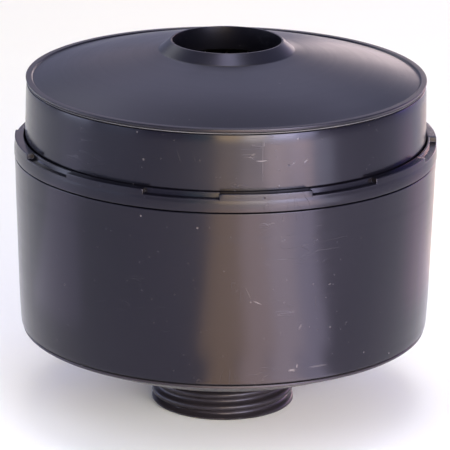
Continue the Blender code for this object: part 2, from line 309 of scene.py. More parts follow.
# ================================================================ black moulded plastic
def plastic(name, base, rough, streak=1.0, grain=1.0, marks=(), dust=1.0, tint=(1.25, 1.15, 1.2), lid=False, spec=0.42, sheen_tone=(0.80, 0.77, 1.0)):
    """Semi-gloss injection-moulded black. Fine lay lines run round the part, with soft blotches in the gloss, hairline
    scratches, dust in small specks, and any handling marks given as (azimuth, z, half length, half width, tilt, gain):
    light ones with a gain over 0, small pits with one under 0."""
    t = Tree(name)
    x, y, z = t.xyz()
    # lay lines: very flat noise, long round the part and short up it
    if lid:
        rr = t.math("SQRT", t.add(t.mul(x, x), t.mul(y, y)))
        comb = t.nt.nodes.new("ShaderNodeCombineXYZ")
        t.link(t.mul(x, 18.0), comb.inputs[0])
        t.link(t.mul(y, 18.0), comb.inputs[1])
        t.link(t.mul(rr, 900.0), comb.inputs[2])
        lay_a = t.noise(comb.outputs[0], 1.0, 3.0, 0.6)
        lay_b = t.noise(comb.outputs[0], 3.1, 2.0, 0.6)
    else:
        lay_a = t.noise(t.scaled(14, 14, 1500), 1.0, 3.0, 0.6)
        lay_b = t.noise(t.scaled(26, 26, 5200, 3.0), 1.0, 2.0, 0.6)
    blotch = t.noise(t.scaled(1, 1, 1, 0.4), 55.0, 4.0, 0.55, 0.4)
    broad = t.noise(t.scaled(1, 1, 0.5, 0.9), 14.0, 2.0, 0.5)
    fine = t.noise(t.pos, 2600.0, 2.0, 0.6)
    micro = t.noise(t.pos, 9000.0, 1.0, 0.5)
    # hairline scratches: thin bands where a stretched, bent noise crosses its middle value
    def hairs(sx, sy, sz, off, width, keep_at):
        n = t.noise(t.scaled(sx, sy, sz, off), 1.0, 1.5, 0.45, 0.6)
        d = t.math("ABSOLUTE", t.math("SUBTRACT", n, 0.5))
        line = t.remap(d, 0.0, width, 1.0, 0.0, True)
        where = t.remap(t.noise(t.scaled(1, 1, 1, off + 7.0), 60.0, 2.0, 0.5), keep_at, keep_at + 0.06, 0.0, 1.0, True)
        return t.mul(line, where)

    scratch = t.math("MAXIMUM", hairs(90, 90, 420, 1.7, 0.0045, 0.60), hairs(260, 150, 60, 5.1, 0.004, 0.64))
    # specks of dust and lint
    v = t.voronoi(t.scaled(1, 1, 1, 2.2), 420.0)
    cell = t.nt.nodes.new("ShaderNodeSeparateColor")
    t.link(v.outputs["Color"], cell.inputs[0])
    speck = t.mul(t.remap(v.outputs["Distance"], 0.10, 0.16, 1.0, 0.0, True),
                  t.remap(cell.outputs[0], 0.965, 0.975, 0.0, 1.0))
    v2 = t.voronoi(t.scaled(1, 1, 1, 8.2), 1100.0)
    cell2 = t.nt.nodes.new("ShaderNodeSeparateColor")
    t.link(v2.outputs["Color"], cell2.inputs[0])
    speck2 = t.mul(t.remap(v2.outputs["Distance"], 0.12, 0.2, 1.0, 0.0, True),
                   t.remap(cell2.outputs[1], 0.95, 0.96, 0.0, 1.0))
    specks = t.mul(t.math("MAXIMUM", speck, t.mul(speck2, 0.6)), dust)
    # handling marks at given places
    mark, dark = 0.0, 0.0
    for az, mz, hl, hw, tilt, gain in marks:
        a = math.radians(az)
        cx, cy = math.sin(a), -math.cos(a)
        # distances along the surface from the mark's centre: u round the part, w up it
        u = t.add(t.mul(x, math.cos(a)), t.mul(y, math.sin(a)))
        w = t.math("SUBTRACT", z, mz * MM)
        facing = t.math("GREATER_THAN", t.add(t.mul(x, cx), t.mul(y, cy)), 0.0)
        ct, st = math.cos(math.radians(tilt)), math.sin(math.radians(tilt))
        along = t.add(t.mul(u, ct), t.mul(w, st))
        across = t.add(t.mul(u, -st), t.mul(w, ct))
        wobble = t.mul(t.math("SUBTRACT", t.noise(t.scaled(1, 1, 1, az), 700.0, 2.0, 0.6), 0.5), hw * MM * 1.2)
        d = t.add(t.math("POWER", t.math("ABSOLUTE", t.mul(along, 1 / (hl * MM))), 2.0),
                  t.math("POWER", t.math("ABSOLUTE", t.mul(t.add(across, wobble), 1 / (hw * MM))), 2.0))
        m = t.mul(t.remap(d, 0.0, 1.0, 1.0, 0.0, True), facing, abs(gain))
        if gain < 0:
            dark = t.math("MAXIMUM", dark, m)
        else:
            mark = t.math("MAXIMUM", mark, m)
    worn = t.math("MAXIMUM", t.mul(scratch, 0.16), t.mul(specks, 0.55))
    if marks:
        worn = t.math("MAXIMUM", worn, mark)
    # colour: black, a little lighter where it is worn or dusty, and slightly uneven
    uneven = t.mix(t.remap(blotch, 0.35, 0.7, 0.0, 1.0), base, tuple(b * k for b, k in zip(base, tint)))
    colour = t.mix(t.mul(worn, 0.5), uneven, (0.16, 0.15, 0.165))
    # gloss
    r = t.add(rough,
              t.mul(t.math("SUBTRACT", blotch, 0.5), 0.10),
              t.mul(t.math("SUBTRACT", broad, 0.5), 0.08),
              t.mul(t.math("SUBTRACT", lay_a, 0.5), 0.12 * streak),
              t.mul(t.math("SUBTRACT", lay_b, 0.5), 0.06 * streak),
              t.mul(worn, 0.18), t.mul(dark, 0.5))
    r = t.math("MINIMUM", t.math("MAXIMUM", r, 0.12), 0.9)
    height = t.add(t.mul(lay_a, 0.55 * streak), t.mul(lay_b, 0.25 * streak), t.mul(fine, 0.35 * grain), t.mul(micro, 0.15 * grain))
    n1 = t.bump(height, 0.4, 0.000012)
    n2 = t.bump(t.add(t.mul(scratch, -1.0), t.mul(specks, 1.2), t.mul(mark, -0.8), t.mul(dark, -2.0)), 0.5, 0.00003, n1)
    n3 = t.bump(broad, 0.25, 0.0009, n2)
    t.bsdf.inputs["Specular Tint"].default_value = (*sheen_tone, 1.0)
    return t.set(color=colour, rough=r, ior=1.47, spec=spec, normal=n3)


def rubber(name, base, rough=0.62):
    t = Tree(name)
    n = t.noise(t.pos, 1800.0, 3.0, 0.6)
    b = t.noise(t.pos, 160.0, 3.0, 0.5)
    colour = t.mix(t.remap(b, 0.3, 0.7, 0.0, 1.0), base, tuple(c * 1.4 for c in base))
    r = t.add(rough, t.mul(t.math("SUBTRACT", b, 0.5), 0.2))
    return t.set(color=colour, rough=r, ior=1.5, normal=t.bump(n, 0.4, 0.00004))


def felt(name):
    t = Tree(name)
    fibres = t.noise(t.scaled(1, 1, 1), 1500.0, 5.0, 0.7, 1.5)
    clumps = t.noise(t.scaled(1, 1, 1.6, 3.0), 220.0, 4.0, 0.6, 0.6)
    flecks = t.noise(t.scaled(1, 1, 2.5, 6.0), 900.0, 3.0, 0.7, 2.0)
    c = t.ramp(t.add(t.mul(clumps, 0.6), t.mul(fibres, 0.4)), [(0.3, (0.36, 0.34, 0.29)), (0.52, (0.55, 0.52, 0.45)), (0.72, (0.7, 0.67, 0.6))])
    c = t.mix(t.mul(t.remap(flecks, 0.62, 0.7, 0.0, 1.0), 0.5), c, (0.2, 0.19, 0.17))
    n = t.bump(t.add(t.mul(fibres, 0.7), clumps), 0.8, 0.0003)
    return t.set(color=c, rough=0.95, sheen=0.3, sheen_rough=0.5, normal=n)


def foam(name):
    t = Tree(name)
    v = t.voronoi(t.pos, 900.0)
    w = t.voronoi(t.scaled(1, 1, 1, 4.0), 1500.0)
    cells = t.add(t.mul(v.outputs["Distance"], 0.6), t.mul(w.outputs["Distance"], 0.4))
    blot = t.noise(t.pos, 120.0, 3.0, 0.5)
    # pore centres are painted darker than the cell walls: painted shade in the pores
    c = t.ramp(cells, [(0.1, (0.012, 0.012, 0.013)), (0.4, (0.05, 0.05, 0.054)), (0.8, (0.1, 0.1, 0.108))])
    c = t.mix(t.mul(blot, 0.3), c, (0.03, 0.03, 0.033))
    return t.set(color=c, rough=0.92, normal=t.bump(cells, 0.9, 0.0005))


def paper(name):
    t = Tree(name)
    fibres = t.noise(t.scaled(1, 1, 0.4), 2200.0, 4.0, 0.7, 1.0)
    clouds = t.noise(t.pos, 150.0, 3.0, 0.55)
    x, y, z = t.xyz()
    # darker towards the top of the pack, from about z 84 mm up, with a cloudy edge
    darker_upward = t.remap(t.add(t.mul(z, 1000.0), t.mul(t.math("SUBTRACT", clouds, 0.5), 6.0)), 84.0, 89.0, 0.0, 0.35)
    c = t.ramp(t.add(t.mul(fibres, 0.45), t.mul(clouds, 0.55)), [(0.3, (0.42, 0.37, 0.26)), (0.7, (0.62, 0.57, 0.44))])
    c = t.mix(darker_upward, c, (0.12, 0.11, 0.1))
    return t.set(color=c, rough=0.88, normal=t.bump(fibres, 0.5, 0.00008))


def woven_wire(name, pitch_mm=0.8):
    """Plain weave of round wire: crossed sine waves, with painted shade in the meshes between the wires."""
    t = Tree(name)
    x, y, z = t.xyz()
    k = 2 * math.pi / (pitch_mm * MM)
    sx, sy = t.math("SINE", t.mul(x, k)), t.math("SINE", t.mul(y, k))
    wx = t.math("ABSOLUTE", t.math("SINE", t.mul(x, k / 2)))
    wy = t.math("ABSOLUTE", t.math("SINE", t.mul(y, k / 2)))
    over = t.math("GREATER_THAN", t.math("MULTIPLY", t.math("SINE", t.mul(x, k / 2)), t.math("SINE", t.mul(y, k / 2))), 0.0)
    wires = t.math("MAXIMUM", wx, wy)
    open_ = t.remap(wires, 0.55, 0.75, 0.0, 1.0, True)
    tone = t.noise(t.pos, 400.0, 3.0, 0.6)
    # the openings between the wires are painted near-black: painted shade where the mesh is open
    c = t.mix(open_, (0.01, 0.01, 0.011), (0.5, 0.5, 0.49))
    c = t.mix(t.mul(tone, 0.3), c, (0.3, 0.28, 0.25))
    h = t.add(wires, t.mul(over, 0.15))
    return t.set(color=c, rough=0.42, metal=0.9, normal=t.bump(h, 0.8, 0.0002))


def spring_steel(name):
    t = Tree(name)
    n = t.noise(t.scaled(30, 30, 2500), 1.0, 3.0, 0.6)
    b = t.noise(t.pos, 120.0, 3.0, 0.6)
    c = t.mix(t.remap(b, 0.3, 0.7, 0.0, 1.0), (0.42, 0.42, 0.43), (0.56, 0.55, 0.54))
    return t.set(color=c, rough=t.add(0.24, t.mul(n, 0.14)), metal=1.0, normal=t.bump(n, 0.3, 0.00002))


# ================================================================ dimensions shared with the CAD
NECK_MAJOR_R, NECK_MINOR_R, NECK_PITCH, NECK_PHASE_Z = 20.0, 18.25, 25.4 / 7.0, 3.4
NECK_BORE_R, NECK_END_R, NECK_BAND_Z, THREAD_TOP_Z = 14.8, 19.7, 0.5, 13.0
CAP_FLAT_Z, CAP_CORNER_R, CAP_RIM_R, CAP_RIM_Z0, CAP_RIM_Z1, CAP_WALL = 16.7, 42.8, 56.5, 22.6, 23.55, 2.4
SHELL_Z0, SHELL_R0, SHELL_Z1, SHELL_R1 = 23.85, 56.85, 72.1, 58.5
RING_R, RING_Z0, RING_Z1, RING_FLOOR_Z, RING_LIP_R, RING_BORE_R = 58.6, 72.4, 77.4, 76.0, 56.6, 55.95
NOTCHES, NOTCH_CENTRE, NOTCH_WIDTH = 8, 33.4, 20.3
UPPER_R0, UPPER_R1, UPPER_Z1, UPPER_INNER_R = 55.6, 55.2, 92.55, 53.2
LID_R, LID_Z0 = 55.3, 93.25
LID_LIP_R, LID_TOP_Z, OUTLET_R, LID_WALL = 15.6, 104.2, 15.05, 2.0
PACK_R = 52.7


# ================================================================ materials
BLACK = (0.0024, 0.0022, 0.0038)
UPPER_MARKS = [
    (10.5, 89.9, 0.75, 0.10, 90, 1.0), (10.0, 85.5, 1.9, 0.22, 0, 0.8), (22.4, 84.7, 0.9, 0.3, 40, 0.8), (18.9, 84.4, 0.6, 0.22, 30, 0.5),
    (-24.9, 91.7, 0.28, 0.28, 0, 0.9), (10.2, 85.5, 7.2, 0.10, 90, 0.25), (17.6, 83.9, 0.4, 0.3, 0, -0.7),
]
LOWER_MARKS = [
    (-22.2, 69.9, 0.34, 0.34, 0, 1.0), (6.4, 50.0, 2.0, 0.13, -65, 0.3), (8.9, 47.2, 1.5, 0.18, -27, 0.9), (18.8, 27.4, 1.2, 0.5, 5, 0.7),
    (20.2, 28.4, 0.3, 0.7, 0, 0.7), (26.4, 27.6, 3.5, 0.35, 0, 0.3), (29.1, 50.5, 0.5, 0.3, 20, 0.4), (20.7, 39.5, 1.0, 0.35, 60, 0.3),
    (-131.0, 55.0, 1.6, 0.15, 35, 0.5), (163.0, 42.0, 2.2, 0.12, -20, 0.5), (97.0, 33.0, 1.2, 0.3, 10, 0.4),
]
RING_MARKS = [(10.2, 76.3, 0.45, 0.38, 0, -1.0), (-140.0, 75.0, 0.8, 0.2, 10, 0.5), (120.0, 74.5, 0.6, 0.2, 0, 0.5)]
# the cap's base colour is lighter than the other black parts: painted fill light, standing in for light reaching the
# neck under the body
mat_cap = plastic("cap_black", (0.016, 0.014, 0.017), 0.35, 0.8, 1.0)
mat_lower = plastic("lower_black", BLACK, 0.195, 1.0, 1.0, LOWER_MARKS)
mat_ring = plastic("ring_black", (0.0028, 0.0026, 0.0042), 0.22, 0.8, 1.0, RING_MARKS, dust=0.6)
mat_upper = plastic("upper_black", BLACK, 0.19, 1.0, 1.0, UPPER_MARKS)
mat_lid = plastic("lid_black", (0.0036, 0.0036, 0.006), 0.31, 0.5, 1.2, lid=True)
mat_inner = plastic("inner_black", (0.02, 0.02, 0.022), 0.5, 0.5, 1.2, dust=0.5)
mat_gasket = rubber("gasket_grey", (0.045, 0.045, 0.055))
mat_seal = rubber("seal_black", (0.012, 0.012, 0.012))
mat_felt, mat_foam, mat_paper = felt("felt"), foam("foam"), paper("pleat_paper")
mat_wire, mat_spring = woven_wire("wire_mesh"), spring_steel("spring_steel")


# ================================================================ lid
def lid_outside(r):
    r0, r1 = 53.2, 20.6
    t = (r0 - r) / (r0 - r1)
    return 93.75 + (101.05 - 93.75) * t + 0.75 * math.sin(math.pi * t) * (1 - 0.25 * t)


def make_lid():
    dome = [(53.2 - (53.2 - 21.6) * i / 40, 0) for i in range(41)]
    dome = [(r, lid_outside(r)) for r, _ in dome]
    under = [(21.5 + (49.5 - 21.5) * i / 20, 0) for i in range(21)]
    under = [(r, lid_outside(r) - LID_WALL) for r, _ in under]
    corner = [
        ((52.9, LID_Z0), 0.1), ((LID_R - 0.22, LID_Z0), 0.12), ((LID_R, 93.8), 0.1), ((LID_R - 0.02, 94.12), 0.28), ((53.75, 94.12), 0.3), ((53.35, 93.72), 0.15),
    ]
    corner += [(p, 0) for p in dome[1:]]
    corner += [((18.7, 101.5), 1.1), ((LID_LIP_R, LID_TOP_Z), 0.38), ((OUTLET_R, LID_TOP_Z), 0.12),
               ((OUTLET_R, 97.6), 0.25), ((17.0, 97.6), 0.25), ((17.0, 99.0), 0.6)]
    corner += [(p, 0) for p in under]
    corner += [((51.2, 91.9), 0.8), ((51.2, 89.2), 0.3), ((52.9, 89.2), 0.4)]
    outline = fillet([c[0] for c in corner], [c[1] for c in corner], 6)
    return turned("lid_fine", outline, mat_lid, 320)


put(make_lid(), ROOT, "lid", slot="lid_plastic")


def make_lid_gasket():
    z0, z1 = UPPER_Z1 + 0.2, LID_Z0 - 0.2
    o = fillet([(53.25, z0), (55.05, z0), (55.05, z1), (53.25, z1)], 0.12, 4)
    return turned("lid_gasket_fine", o, mat_gasket, 320)


put(make_lid_gasket(), ROOT, "lid_gasket", slot="gasket_rubber")


# ================================================================ upper shell
def make_upper_shell():
    c = [
        ((52.2, 66.0), 0.3), ((54.2, 66.0), 0.4), ((54.2, 69.0), 0.15), ((53.0, 69.0), 0.1), ((53.0, 70.7), 0.1), ((54.2, 70.7), 0.15),
        ((54.2, 74.3), 0.1), ((56.9, 74.3), 0.15), ((56.9, 75.1), 0.15), ((UPPER_R0, 75.1), 0.25),
        ((UPPER_R1, UPPER_Z1), 0.18), ((UPPER_INNER_R, UPPER_Z1), 0.15), ((UPPER_INNER_R, 73.6), 0.2),
        ((48.5, 73.6), 0.3), ((48.5, 72.0), 0.3), ((52.2, 72.0), 0.2),
    ]
    o = densify(fillet([p for p, _ in c], [r for _, r in c], 5), 0.5)
    # the wall leans in a little more over its last few millimetres, under the lid
    o = [(r - (0.16 * ((z - 89.6) / 2.95) ** 2 if z > 89.6 and r > 54.6 else 0.0), z) for r, z in o]
    return turned("upper_shell_fine", o, mat_upper, 320)


put(make_upper_shell(), ROOT, "upper_shell", slot="upper_shell_plastic")


# ================================================================ castellation
def castellation(az_fn_edges=0.25):
    """Azimuths for the ring and the shell under it, and how deep each one is in a notch, 0 to 1.
    The ends of a notch are upright walls with small rounds at their foot and top."""
    half, period = NOTCH_WIDTH / 2, 360.0 / NOTCHES
    rho = math.degrees(az_fn_edges / RING_R)
    found = []
    for k in range(NOTCHES):
        c = NOTCH_CENTRE - period + k * period
        n0, n1 = c - half, c + half
        rounds = [0.0, 0.04, 0.14, 0.3, 0.55, 1.0]
        # into the notch at n0: foot round, floor, foot round, wall at n1, top round, tab, top round, wall at the next n0
        for s in rounds:
            found.append((n0 + rho * s, "foot", 1 - s))
        for i in range(1, 14):
            found.append((n0 + rho + (n1 - n0 - 2 * rho) * i / 14, "foot", 0.0))
        for s in reversed(rounds):
            found.append((n1 - rho * s, "foot", 1 - s))
        t1 = n0 + period
        for s in rounds:
            found.append((n1 + rho * s, "top", 1 - s))
        for i in range(1, 18):
            found.append((n1 + rho + (t1 - n1 - 2 * rho) * i / 18, "top", 0.0))
        for s in reversed(rounds):
            found.append((t1 - rho * s, "top", 1 - s))
    return found


def quarter_round(s, rad):
    """Height lost at share s (1 at the wall) of a round of that radius."""
    return rad * (1 - math.sqrt(max(0.0, 1 - s * s)))


def make_lock_ring():
    stations = []
    for az, kind, s in castellation():
        if kind == "foot":
            top = RING_FLOOR_Z + quarter_round(s, 0.25)
            lug = 56.25
            out = RING_R
        else:
            top = RING_Z1 - quarter_round(s, 0.25)
            lug = 57.3
            out = RING_R - quarter_round(s, 0.25)
        o = [(57.3, RING_Z0 + 0.05), (57.45, RING_Z0)]
        o += [(RING_R - 0.28, RING_Z0), (RING_R - 0.12, RING_Z0 + 0.03), (RING_R - 0.03, RING_Z0 + 0.12), (RING_R, RING_Z0 + 0.3)]
        o += [(RING_R - 0.02, 73.6), (RING_R - 0.06, 74.6), (RING_R - 0.10, 75.05), (RING_R - 0.16, 75.5), (RING_R - 0.18, RING_FLOOR_Z - 0.25)]
        e = 0.22                                    # round along the outer top edge
        base_r = RING_R - 0.18 if kind == "foot" else out - 0.2
        for i in range(6):
            a = math.radians(90 * i / 5)
            o.append((base_r - e + e * math.cos(a), top - e + e * math.sin(a)))
        e2 = 0.15
        wall_top = RING_Z1
        if kind == "foot":
            o += [(RING_LIP_R + 0.15, top), (RING_LIP_R + 0.04, top + 0.04), (RING_LIP_R, top + 0.15)]
            for i in range(4):
                a = math.radians(90 * i / 3)
                o.append((RING_LIP_R - e2 + e2 * math.cos(a), wall_top - e2 + e2 * math.sin(a)))
        else:
            o += [(RING_LIP_R + 0.15, top), (RING_LIP_R + 0.04, top), (RING_LIP_R, top)]
            for i in range(4):
                o.append((RING_LIP_R - e2 * i / 3, top))
        inner_top = wall_top if kind == "foot" else top
        o += [(RING_BORE_R + 0.2, inner_top), (RING_BORE_R + 0.06, inner_top - 0.05), (RING_BORE_R, inner_top - 0.2)]
        o += [(RING_BORE_R, 75.5), (RING_BORE_R + 0.1, 75.4), (57.2, 75.4), (57.3, 75.3), (57.3, 73.05), (57.25, 73.0),
              (lug + 0.05, 73.0), (lug, 72.95), (lug, RING_Z0 + 0.05), (lug + 0.05 if kind == "foot" else 57.3, RING_Z0 + 0.02)]
        stations.append((az, o))
    return swept("lock_ring_fine", stations, mat_ring, 40)


put(make_lock_ring(), RING, "lock_ring", slot="ring_plastic")


# ================================================================ lower shell
def make_lower_shell():
    inner0, inner1 = SHELL_R0 - 3.0, 54.6

    def outside(z):
        zs = [SHELL_Z0, 31.2, 43.0, 60.6, SHELL_Z1]
        rs = [SHELL_R0, 57.3, 57.65, 58.15, SHELL_R1]
        r = float(np.interp(z, zs, rs))
        # the straight runs are blended, so no facet line shows between them
        lo = float(np.interp(z - 3, zs, rs)) if z - 3 > SHELL_Z0 else r
        hi = float(np.interp(z + 3, zs, rs)) if z + 3 < SHELL_Z1 else r
        return (r * 2 + lo + hi) / 4 if SHELL_Z0 + 3 < z < SHELL_Z1 - 3 else r

    stations = []
    zs = list(np.linspace(SHELL_Z0 + 1.0, SHELL_Z1 - 0.35, 60))
    for az, kind, s in castellation():
        lug = 56.9 if kind == "foot" else 55.9
        o = [(inner0 + 0.2, SHELL_Z0), (SHELL_R0 - 0.45, SHELL_Z0), (SHELL_R0 - 0.2, SHELL_Z0 + 0.04), (SHELL_R0 - 0.05, SHELL_Z0 + 0.16),
             (SHELL_R0, SHELL_Z0 + 0.36)]
        for z in zs:
            r = outside(z)
            # a bead a little above the lower edge, and a faint step from the core side
            r += 0.05 * math.exp(-(((z - 25.9) / 0.35) ** 2))
            r += 0.05 / (1 + math.exp((z - 64.9) / 0.12)) - 0.05 * (z < 64.9) * max(0.0, 1 - (64.9 - z) / 12.0) * 0 - 0.05
            o.append((r, z))
        o += [(SHELL_R1 - 0.05, SHELL_Z1 - 0.22), (SHELL_R1 - 0.12, SHELL_Z1 - 0.08), (SHELL_R1 - 0.28, SHELL_Z1)]
        o += [(56.1, SHELL_Z1), (55.9, SHELL_Z1 + 0.1), (55.9, 73.25), (55.95 if lug > 56 else 55.9, 73.3), (lug - 0.06 if lug > 56 else lug, 73.3),
              (lug, 73.36), (lug, 73.94), (lug - 0.06 if lug > 56 else lug, 74.0), (55.8, 74.0), (inner1 + 0.1, 74.0), (inner1, 73.9),
              (inner1, 64.0), (inner0, 62.0), (inner0, SHELL_Z0 + 0.2)]
        stations.append((az, o))
    return swept("lower_shell_fine", stations, mat_lower, 40)


put(make_lower_shell(), ROOT, "lower_shell", slot="lower_shell_plastic")


# ================================================================ bottom cap and neck
def thread_profile():
    """One pitch of a round-form thread, crest to crest: (height over the crest, radius). Round crests and roots of
    equal radius, joined by flanks at 15 degrees."""
    p, rad = NECK_PITCH, 0.23851 * NECK_PITCH
    rows = []
    for a in (0, 15, 30, 45, 60, 75):
        a = math.radians(a)
        rows.append((rad * math.sin(a), NECK_MAJOR_R - rad * (1 - math.cos(a))))
    for a in (75, 60, 45, 30, 15, 0, -15, -30, -45, -60, -75):
        a = math.radians(a)
        rows.append((p / 2 - rad * math.sin(a), NECK_MINOR_R + rad * (1 - math.cos(a))))
    for a in (75, 60, 45, 30, 15):
        a = math.radians(a)
        rows.append((p - rad * math.sin(a), NECK_MAJOR_R - rad * (1 - math.cos(a))))
    return rows


def make_bottom_cap():
    """The thread's rows follow its helix, so each row climbs one pitch in a turn and the seam joins row k to row k + n."""
    steps = 288
    profile = thread_profile()
    n = len(profile)
    first, last = -3, 4
    rows = [(m, u, r) for m in range(first, last) for u, r in profile]
    floor = CAP_FLAT_Z + CAP_WALL
    tail_c = [
        ((18.6, CAP_FLAT_Z - 0.9), 0.0), ((19.3, CAP_FLAT_Z - 0.15), 0.5), ((20.4, CAP_FLAT_Z), 0.0), ((CAP_CORNER_R - 0.4, CAP_FLAT_Z), 0.8), ((CAP_CORNER_R + 0.8, CAP_FLAT_Z + 0.45), 1.0),
        ((CAP_RIM_R - 0.9, CAP_RIM_Z0 - 0.33), 0.5), ((CAP_RIM_R, CAP_RIM_Z0 + 0.22), 0.3),
        ((CAP_RIM_R, CAP_RIM_Z1), 0.42), ((53.5, CAP_RIM_Z1), 0.1),
        ((53.5, 24.3), 0.1), ((52.6, 24.3), 0.1), ((52.6, 26.0), 0.1), ((53.5, 26.0), 0.1),
        ((53.5, 27.5), 0.3), ((50.9, 27.5), 0.3), ((50.9, 24.0), 0.5),
        ((CAP_CORNER_R - 1.4, floor), 1.0), ((NECK_BORE_R + 0.6, floor), 0.3),
        ((NECK_BORE_R, floor - 0.6), 0.3), ((NECK_BORE_R, 0.3), 0.0), ((NECK_BORE_R + 0.25, 0.0), 0.0),
    ]
    tail = fillet([(NECK_MINOR_R, 14.0)] + [p for p, _ in tail_c], [0] + [r for _, r in tail_c], 5)
    tail = np.array(densify(tail[:-1], 2.0)[:-1] + [tail[-1]])
    k_count, t_count = len(rows), len(tail)
    verts = []
    for i in range(steps):
        a = i * 360.0 / steps
        z = np.array([NECK_PHASE_Z + NECK_PITCH * (m + a / 360.0) + u for m, u, _ in rows])
        r = np.array([r for _, _, r in rows])
        fade = np.clip((THREAD_TOP_Z - z) / 2.0, 0, 1)
        fade = fade * fade * (3 - 2 * fade)
        r = NECK_MINOR_R + (r - NECK_MINOR_R) * fade
        z = np.clip(z, 0.0, THREAD_TOP_Z + 0.4)
        # a plain band of full radius closes the end of the thread, its lower corner rounded
        r = np.maximum(r, NECK_MAJOR_R - 2.5 * np.maximum(0.0, z - NECK_BAND_Z))
        r = np.minimum(r, NECK_END_R + 0.3 * np.sqrt(np.clip(1 - (1 - z / 0.3) ** 2, 0, 1)) * (z < 0.3) + 0.3 * (z >= 0.3))
        verts.append(place(np.concatenate([r, tail[:, 0]]), np.concatenate([z, tail[:, 1]]), a))
    verts = np.concatenate(verts)
    total = k_count + t_count
    faces = []
    for i in range(steps):
        j = (i + 1) % steps
        shift = n if j == 0 else 0
        for k in range(k_count - 1):
            quad = (i * total + k, i * total + k + 1, j * total + min(k + 1 + shift, k_count - 1), j * total + min(k + shift, k_count - 1))
            faces.append(quad if quad[2] != quad[3] else quad[:3])
        if shift:                                    # rows that start the helix at the seam all lie on the end face's edge
            for k in range(shift):
                pass
        for k in range(k_count - 1, total):
            k2 = k + 1 if k + 1 < total else 0
            if k2:
                faces.append((i * total + k, i * total + k2, j * total + k2, j * total + k))
            else:
                faces.append((i * total + k, i * total, j * total, j * total + k))
    return mesh_object("bottom_cap_fine", verts, faces, mat_cap, 34, 2e-7)


put(make_bottom_cap(), ROOT, "bottom_cap", slot="cap_plastic")


# ================================================================ seals
def make_oring(name, cr, cz, wr, wz):
    o = [(cr + wr * math.cos(t), cz + wz * math.sin(t)) for t in np.linspace(0, 2 * math.pi, 24, endpoint=False)]
    return turned(name, o, mat_seal, 240, 60)


put(make_oring("bottom_seal_fine", 53.17, 25.15, 0.42, 0.54), ROOT, "bottom_seal", slot="seal_rubber")
put(make_oring("body_seal_fine", 53.75, 69.85, 0.54, 0.64), ROOT, "body_seal", slot="seal_rubber")


# ================================================================ packing
def fuzz(seed, rough_mm, soft_mm):
    """Small, repeatable unevenness of a soft disc's surface."""
    rng = np.random.RandomState(seed)
    waves = [(rng.randint(2, 14), rng.uniform(0.02, 0.16), rng.uniform(0, 6.28), rng.uniform(0.4, 1.0)) for _ in range(14)]

    def wobble(r, z, a):
        rad = np.radians(a)
        h = np.zeros_like(r)
        for n, k, ph, amp in waves:
            h += amp * np.sin(n * rad + k * r * 6 + ph) * np.cos(k * r * 4 - ph)
        h = h / len(waves)
        edge = np.clip(r / 8.0, 0, 1)
        grain = rng.normal(0, 1, r.shape) * edge
        mid = (z.max() + z.min()) / 2
        inward = np.sign(mid - z)
        dz = inward * (np.abs(h) * soft_mm + np.abs(grain) * rough_mm)
        dr = -np.abs(grain) * rough_mm * (r > 20)
        return r + dr, z + dz * (np.abs(z - mid) > 0.2 * (z.max() - z.min()))

    return wobble


def make_soft_disc(name, z0, z1, mat, seed, rough_mm, soft_mm, edge=1.2):
    o = fillet([(0, z0), (PACK_R, z0), (PACK_R, z1), (0, z1)], [0, edge, edge, 0], 8)
    o = densify(o[:-1] + [o[-1]], 1.0)
    o = [p for i, p in enumerate(o) if not (p[0] < 1e-6 and 1e-6 < i < len(o) and z0 + 1e-6 < p[1] < z1 - 1e-6)]
    return turned(name, o, mat, 220, 60, fuzz(seed, rough_mm, soft_mm))


for nm, z0, z1, mt, sd, rg, sf, sl, fl in (
    ("felt_disc_lower", 31.0, 37.0, mat_felt, 3, 0.07, 0.5, "felt", 0.5),
    ("foam_disc_lower", 37.3, 48.0, mat_foam, 5, 0.10, 0.4, "foam", 0.6),
    ("foam_disc_upper", 50.2, 58.2, mat_foam, 7, 0.10, 0.4, "foam", 0.6),
    ("felt_disc_upper", 58.5, 64.7, mat_felt, 9, 0.07, 0.5, "felt", 0.5),
):
    piece = make_soft_disc(nm + "_fine", z0, z1, mt, sd, rg, sf)
    put(piece, ROOT, nm, slot=sl)


def make_screen(name, z0, z1):
    """Wire disc with a rolled edge."""
    zc = (z0 + z1) / 2
    o = [(0, zc - 0.14)] + [(r, zc - 0.14) for r in np.linspace(2, 51.4, 26)]
    o += [(51.8, zc - 0.28), (52.3, zc - 0.28), (52.6, zc - 0.1), (52.6, zc + 0.1), (52.3, zc + 0.28), (51.8, zc + 0.28)]
    o += [(r, zc + 0.14) for r in np.linspace(51.4, 2, 26)] + [(0, zc + 0.14)]
    return turned(name, o, mat_wire, 240, 50)


put(make_screen("lower_screen_fine", 30.1, 30.7), ROOT, "lower_screen", slot="wire_mesh")
put(make_screen("upper_screen_fine", 65.0, 65.6), ROOT, "upper_screen", slot="wire_mesh")


